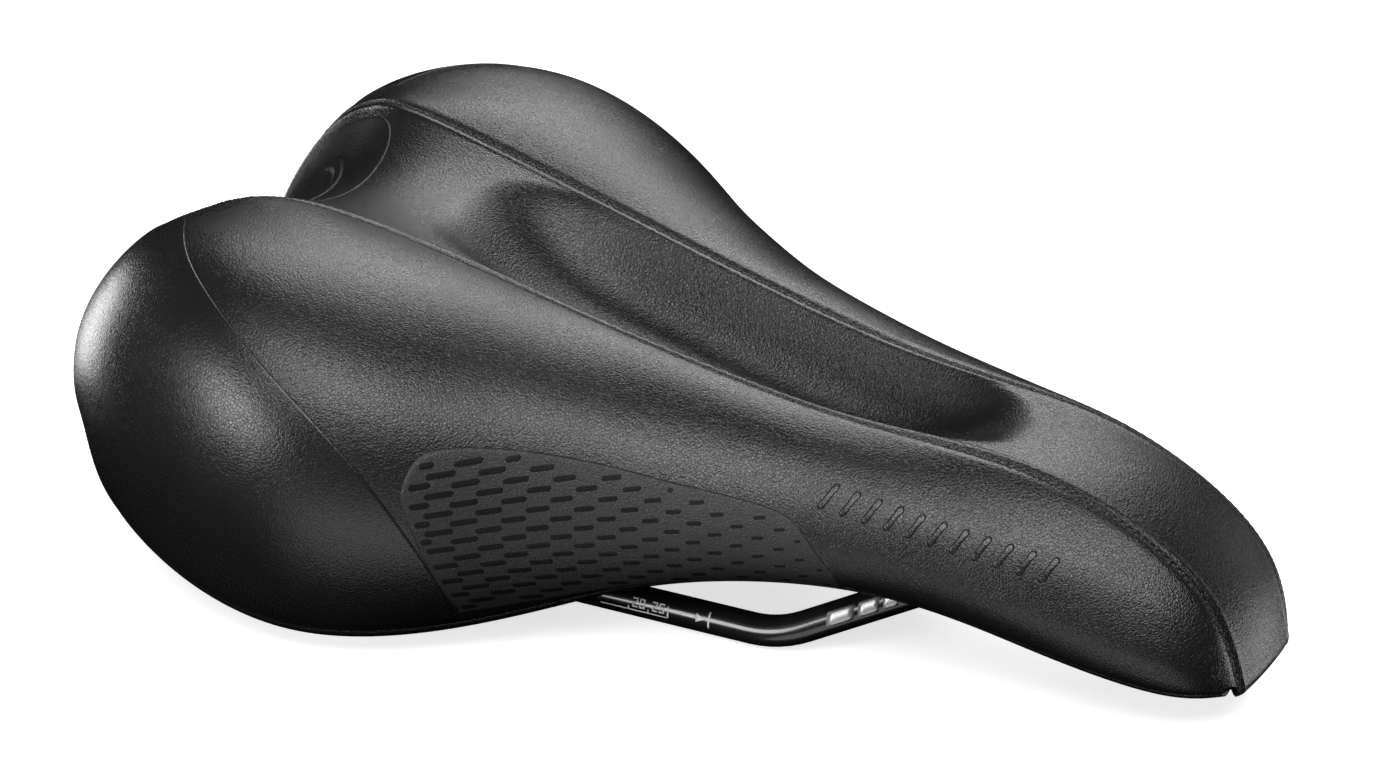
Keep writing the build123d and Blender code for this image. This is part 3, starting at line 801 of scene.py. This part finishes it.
def on_flank(x, z):
    """Parameters (u, v) of the flank's point with a given x and z."""
    x, z = np.broadcast_arrays(np.asarray(x, float), np.asarray(z, float))
    u = GUESS_U + (x - GUESS_X * MM) / (STATION_STEP * MM)
    v = np.full(x.shape, GUESS_V)
    for _ in range(SEARCH_STEPS):
        p = raw_side(u, v)
        pu = (raw_side(u + EPS, v) - p) / EPS
        pv = (raw_side(u, v + EPS) - p) / EPS
        dx, dz = x - p[..., 0], z - p[..., 2]
        det = pu[..., 0] * pv[..., 2] - pu[..., 2] * pv[..., 0]
        step_u = (dx * pv[..., 2] - dz * pv[..., 0]) / det
        step_v = (pu[..., 0] * dz - pu[..., 2] * dx) / det
        u = np.clip(u + np.clip(step_u, -U_STRIDE, U_STRIDE), *U_LIMITS)
        v = np.clip(v + np.clip(step_v, -V_STRIDE, V_STRIDE), *V_LIMITS)
    return u, v


def grip_grid():
    """(u, v) grid of the grip film, between its top line and the hem."""
    top = across_points(GRIP_TOP, GRIP_ROWS) * MM
    u, v = on_flank(top[:, 0], top[:, 1])
    rear = across_points(GRIP_REAR, GRIP_COLUMNS) * MM
    ru, rv = on_flank(rear[:, 0], rear[:, 1])
    low_u = np.interp(GRIP_LOW, rv, ru)
    share = np.linspace(0, 1, GRIP_ROWS)
    end_u = u[-1] + GRIP_NOSE
    bottom_u = low_u + (end_u - low_u) * share
    t = np.linspace(0, 1, GRIP_COLUMNS)
    rear_u = np.interp(v[0] + (GRIP_LOW - v[0]) * t, rv, ru)
    grid_u = u[:, None] * (1 - t) + bottom_u[:, None] * t
    grid_v = v[:, None] * (1 - t) + GRIP_LOW * t
    bow = rear_u - (u[0] * (1 - t) + bottom_u[0] * t)
    grid_u = grid_u + bow[None, :] * (1 - share[:, None]) ** 3
    return grid_u, grid_v


def grip_film(side):
    u, v = grip_grid()
    rows, columns = np.arange(GRIP_ROWS), np.arange(GRIP_COLUMNS)
    s = np.minimum(rows, rows[::-1])[:, None] * GRIP_STEP
    t = np.minimum(columns, columns[::-1])[None, :] * GRIP_STEP
    rims = rim_share(np.minimum(s, t), FILM_ROUND)
    return film("grip_film", u, v, rims, GRIP, "grip_film", side, "flank_grip_patch")


def grip_limits(z):
    """How far back and forward the grip film reaches at a height, in side-view millimetres."""
    rear = across_points(GRIP_REAR, 60)
    top = across_points(GRIP_TOP, 240)
    covered = top[top[:, 1] > z, 0]
    if len(covered) == 0:
        return None
    back = covered.min()
    if z < GRIP_REAR[0][1]:
        back = np.interp(z, rear[::-1, 1], rear[::-1, 0])
    ahead = covered.max() if z > GRIP_TOP[-1][1] else GRIP_TOP[-1][0]
    return back, ahead


def pill(x, z, long, high, lean=0.0):
    """Flat stadium as rings round its middle, turned by an angle."""
    half, r = 0.5 * (long - high), 0.5 * high
    c, s = math.cos(lean), math.sin(lean)
    verts = []
    for k in range(PILL_RINGS):
        share = 1 - k / (PILL_RINGS - 0.5)
        for i in range(PILL_SIDES):
            a = 2 * math.pi * i / PILL_SIDES
            end = half if math.cos(a) > 0 else -half
            along, across = (end + r * math.cos(a)) * share, r * math.sin(a) * share
            verts.append((x + c * along - s * across, z + s * along + c * across, k))
    return verts


def pill_places():
    """Staggered rows of pills that shrink towards the nose, cut short at the film's edge."""
    for row in range(PILL_ROWS):
        z = PILL_TOP - PILL_RISER * row
        limits = [grip_limits(z + PILL_CLEAR), grip_limits(z - PILL_CLEAR)]
        if None in limits:
            continue
        first = max(limits[0][0], limits[1][0]) + PILL_MARGIN
        last = min(limits[0][1], limits[1][1]) - PILL_MARGIN
        for column in range(PILL_COLUMNS):
            x = PILL_REAR + PILL_PITCH * (column + 0.5 * (row % 2))
            long = PILL_LONG - LONG_TAPER * (x - TAPER_FROM)
            high = PILL_HIGH - HIGH_TAPER * (x - TAPER_FROM)
            start, stop = max(x - long / 2, first), min(x + long / 2, last)
            if stop - start > PILL_LEAST * high:
                yield (start + stop) / 2, z, stop - start, high


def raised_shapes(name, shapes, rise, material, side, lowest):
    """Small closed pads on the flank, from rings in side view."""
    sides = PILL_SIDES
    u, v = on_flank(shapes[..., 0] * MM, shapes[..., 1] * MM)
    found = np.abs(raw_side(u, v)[..., 2] - shapes[..., 1] * MM).max(1) < NEAR_ENOUGH
    keep = found & (v.max(1) < lowest)
    u, v, shapes = u[keep], v[keep], shapes[keep]
    points = side_point(u, v, rise[shapes[..., 2].astype(int)])
    faces = []
    ring = np.arange(sides)
    after = np.roll(ring, -1)
    for n in range(len(points)):
        base = n * PILL_RINGS * sides
        for k in range(PILL_RINGS - 1):
            low, top = base + k * sides, base + (k + 1) * sides
            faces += np.stack([low + ring, low + after, top + after, top + ring], -1).tolist()
        faces.append((base + (PILL_RINGS - 1) * sides + ring).tolist())
        faces.append((base + ring[::-1]).tolist())
    return mirrored_piece(name + hand(side), points.reshape(-1, 3), faces, material, side)


def grip_pills(side):
    """Thin dark pills on the grip film."""
    shapes = np.array([pill(*place, PILL_LEAN) for place in pill_places()])
    piece = raised_shapes("grip_pills", shapes, PILL_RISE, PILL, side, PILL_LOW)
    return stand_for(piece, "grip_film")


def flank_bars(side):
    """Plain slanted bars in a row on the nose's flank."""
    shapes = []
    for i in range(BAR_COUNT):
        share = i / (BAR_COUNT - 1)
        x, z = [a + (b - a) * share for a, b in zip(BAR_FIRST, BAR_LAST)]
        shapes.append(pill(x, z, BAR_LONG, BAR_THICK, BAR_LEAN))
    piece = raised_shapes("flank_bars", np.array(shapes), BAR_RISE, GLOSSY, side, 1.0)
    return stand_for(piece, "grip_film")


def badge():
    """Plain rounded patch in the rear valley with a low oval ring."""
    s, t = np.meshgrid(np.linspace(-1, 1, 161), np.linspace(-1, 1, 181), indexing="ij")
    radius = (np.abs(s) ** BADGE_CORNER + np.abs(t) ** BADGE_CORNER) ** (1 / BADGE_CORNER)
    square = np.maximum(np.maximum(np.abs(s), np.abs(t)), 1e-6)
    pull = square / np.maximum(radius, 1e-6)
    u = BADGE_U + BADGE_HALF * s * pull
    w = BADGE_W * t * pull
    rim = rim_share(1 - square, BADGE_RIM)
    away = np.hypot((u - RING_U) / RING_HALF, w / RING_W) - 1
    ring = RING_RISE * np.exp(-(away / RING_WIDTH) ** 4)
    top = middle_point(u, w, FILM_EDGE + BADGE_RISE * rim + ring)
    verts, faces = closed_sheet(top, middle_point(u, w, -FILM_SINK))
    patch = new_object("badge_film", verts, faces, BADGE)
    return stand_for(patch, "glossy_film", "rear_badge_patch")


# ---------------------------------------------------------------- printed marks
CLAMP_CORNER = np.array([39.0, -22.0, 0.0]) * MM     # where the right rail starts to rise
NOSE_CORNER = np.array([83.0, -10.0, 21.0]) * MM
ALONG_RAIL = np.array([1.0, 0.0, 0.0])
RISING = (NOSE_CORNER - CLAMP_CORNER) / np.linalg.norm(NOSE_CORNER - CLAMP_CORNER)
MARK_ANGLE = math.radians(20)   # the print's middle above the rod's outer side
STROKE = 0.34                   # digits, in millimetres
DIGIT_WIDE, DIGIT_HIGH = 1.35, 2.2
DIGIT_GAP = 0.35
INK_RISE = 0.03 * MM
INK_SINK = 0.06 * MM
SEGMENTS = {"0": "abcdef", "2": "abged", "5": "afgcd"}


def box_corners(a0, b0, a1, b1, lean=0.0):
    """Corners of an upright or leaning box from (a0, b0) to (a1, b1)."""
    low, high = lean * b0, lean * b1
    return [(a0 + low, b0), (a1 + low, b0), (a1 + high, b1), (a0 + high, b1)]


def digit(text, a, b):
    """Quads of a plain seven-stroke digit whose lower left corner is (a, b)."""
    w, h, k = DIGIT_WIDE, DIGIT_HIGH, STROKE
    middle = h / 2
    strokes = {"a": (0, h - k, w, h), "b": (w - k, middle, w, h - k), "c": (w - k, k, w, middle),
               "d": (0, 0, w, k), "e": (0, k, k, middle), "f": (0, middle, k, h - k),
               "g": (k, middle - k / 2, w - k, middle + k / 2)}
    return [box_corners(a + x0, b + y0, a + x1, b + y1)
            for x0, y0, x1, y1 in [strokes[each] for each in SEGMENTS[text]]]


def on_rod(start, way, a, b, lift):
    """Point of the rod's skin, a along it and b round it."""
    up = unit(np.array([0, 0, 1.0]) - way[2] * way)
    out = np.cross(way, up)
    angle = MARK_ANGLE + b / RAIL_RADIUS
    ring = np.cos(angle)[..., None] * out + np.sin(angle)[..., None] * up
    return start + a[..., None] * way + (RAIL_RADIUS + lift) * ring


def print_on_rod(name, quads, start, way, material):
    """Thin closed patches wrapped round the rod; quads are in millimetres."""
    s, t = np.meshgrid(np.linspace(0, 1, 5), np.linspace(0, 1, 7), indexing="ij")
    all_verts, all_faces, count = [], [], 0
    for quad in np.array(quads) * MM:
        flat = ((1 - s) * (1 - t))[..., None] * quad[0] + (s * (1 - t))[..., None] * quad[1]
        flat = flat + (s * t)[..., None] * quad[2] + ((1 - s) * t)[..., None] * quad[3]
        a, b = flat[..., 0], flat[..., 1]
        top = on_rod(start, way, a, b, INK_RISE)
        verts, faces = closed_sheet(top, on_rod(start, way, a, b, -INK_SINK))
        all_verts.append(verts)
        all_faces += [[i + count for i in f] for f in faces]
        count += len(verts)
    piece = new_object(name, np.concatenate(all_verts), all_faces, material)
    return stand_for(piece, None)


def scale_marks():
    """Setting scale, in millimetres: numbers, a ruled line, ticks, an arrow and its stop."""
    quads = [box_corners(-3.0, -1.9, 13.7, -1.6), box_corners(13.4, -1.9, 13.75, 1.0)]
    for text, middle in (("20", 6.4), ("25", 11.2)):
        for i, each in enumerate(text):
            quads += digit(each, middle + (i - 1) * (DIGIT_WIDE + DIGIT_GAP) + 0.15, -1.0)
        quads.append(box_corners(middle - 2.6, -1.6, middle - 2.3, -0.9))
    quads.append(box_corners(16.6, -0.25, 20.6, 0.25))
    quads.append([(20.4, -1.0), (22.6, 0.0), (22.6, 0.0), (20.4, 1.0)])
    quads.append(box_corners(23.3, -1.9, 23.7, 1.9))
    print_on_rod("rail_scale", quads, np.array([0, CLAMP_CORNER[1], 0]), ALONG_RAIL, WHITE_INK)


def stripe_marks():
    """Plain silver stripes on the rising stretch."""
    quads = [box_corners(a, -1.6, a + wide, 1.6, 0.45)
             for a, wide in ((12.5, 6.5), (20.0, 5.0), (26.0, 3.6), (30.6, 2.2))]
    print_on_rod("rail_stripes", quads, CLAMP_CORNER, RISING, SILVER_INK)


# ---------------------------------------------------------------- hard parts
def dress(node, material):
    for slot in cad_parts[node].material_slots:
        slot.material = material


def dress_hard_parts():
    dress("rails", PAINT)
    dress("base_shell", PLASTIC)
    dress("nose_rail_clamp", CAP)
    dress("nose_clamp_screws", STEEL)
    dress("rear_cap_screws", STEEL)
    for side in ("_left", "_right"):
        dress("rear_rail_cap" + side, CAP)
        dress("rear_rail_bushing" + side, RUBBER)


# ---------------------------------------------------------------- studio
FLOOR_HALF = 6.0
FLOOR_GAP = 0.5 * MM
FLOOR_GLOW = 0.72
LIGHTS_TARGET = Vector((0, 0, 0.04))

AZIMUTH, ELEVATION, ROLL = math.radians(28.3), math.radians(25.2), math.radians(-0.6)
DISTANCE = 1007.3 * MM
TARGET = Vector((6.2 * MM, 0, 42.8 * MM))
FIELD_WIDTH = 300.43 * MM       # the view is this wide at the target
SENSOR = 36.0


def floor_material():
    s = Shader("floor_paper", Roughness=0.9, Specular_IOR_Level=0.1)
    haze = s.noise(3, 2.0)
    s.tint(haze, (0.86, 0.86, 0.86), (0.90, 0.90, 0.90))
    s.bsdf.inputs["Emission Color"].default_value = (1, 1, 1, 1)
    s.bsdf.inputs["Emission Strength"].default_value = FLOOR_GLOW
    return s.material


def floor():
    low = CAD_BOX[0][2] - FLOOR_GAP
    size = FLOOR_HALF
    verts = [(-size, -size, low), (size, -size, low), (size, size, low), (-size, size, low)]
    plane = new_object("floor", np.array(verts), [(0, 1, 2, 3)], floor_material(), flat=True)
    plane.visible_glossy = False
    plane.visible_diffuse = False


def softbox(name, azimuth, elevation, distance, width, height, radiance):
    """Oblong soft light that faces the saddle; azimuth 0 is in front of its right side."""
    a, e = math.radians(azimuth), math.radians(elevation)
    way = Vector((math.sin(a) * math.cos(e), -math.cos(a) * math.cos(e), math.sin(e)))
    data = bpy.data.lights.new(name, "AREA")
    data.shape = "RECTANGLE"
    data.size, data.size_y = width, height
    data.energy = radiance * math.pi * width * height
    light = bpy.data.objects.new(name, data)
    light.location = LIGHTS_TARGET + way * distance
    light.rotation_euler = (-way).to_track_quat("-Z", "Y").to_euler()
    light.visible_camera = False
    bpy.context.scene.collection.objects.link(light)


def lights():
    """Softboxes (azimuth, elevation, distance, width, height, radiance) and a plain white world."""
    softbox("back_box", -165, 42, 1.1, 0.75, 0.56, 5.7)
    softbox("front_box", 30, 51, 1.25, 1.20, 0.62, 7.2)
    softbox("low_front_box", -26, 10, 1.2, 0.56, 0.44, 10.0)
    softbox("left_box", -102, -5, 0.9, 0.30, 0.40, 7.0)
    softbox("under_box", 20, -35, 0.9, 0.9, 0.5, 1.3)
    softbox("far_box", 150, 10, 1.3, 0.6, 0.5, 0.9)
    softbox("nose_box", 130, -16, 1.0, 0.7, 0.3, 3.6)
    world = bpy.data.worlds.new("studio")
    world.use_nodes = True
    world.node_tree.nodes["Background"].inputs[0].default_value = (1, 1, 1, 1)
    world.node_tree.nodes["Background"].inputs[1].default_value = 1.0
    world.cycles_visibility.diffuse = False
    world.cycles_visibility.glossy = False
    bpy.context.scene.world = world
    bpy.context.scene.view_settings.view_transform = "Standard"


def camera():
    back = Vector((math.sin(AZIMUTH) * math.cos(ELEVATION),
                   -math.cos(AZIMUTH) * math.cos(ELEVATION), math.sin(ELEVATION)))
    right = Vector((math.cos(AZIMUTH), math.sin(AZIMUTH), 0))
    up = back.cross(right)
    level = right * math.cos(ROLL) + up * math.sin(ROLL)
    upright = up * math.cos(ROLL) - right * math.sin(ROLL)
    data = bpy.data.cameras.new("camera")
    data.sensor_width = SENSOR
    data.lens = SENSOR * DISTANCE / FIELD_WIDTH
    data.clip_start = 0.05
    cam = bpy.data.objects.new("camera", data)
    turn = Matrix((level, upright, back)).transposed().to_4x4()
    cam.matrix_world = Matrix.Translation(TARGET + back * DISTANCE) @ turn
    bpy.context.scene.collection.objects.link(cam)
    bpy.context.scene.camera = cam


camera()
lights()
floor()
dress_hard_parts()
for each in (LEFT, RIGHT):
    side_skin(each)
    welt(each)
    stitches(each)
    wing_film(each)
    grip_film(each)
    grip_pills(each)
    flank_bars(each)
centre_skin()
foam_pad()
badge()
scale_marks()
stripe_marks()
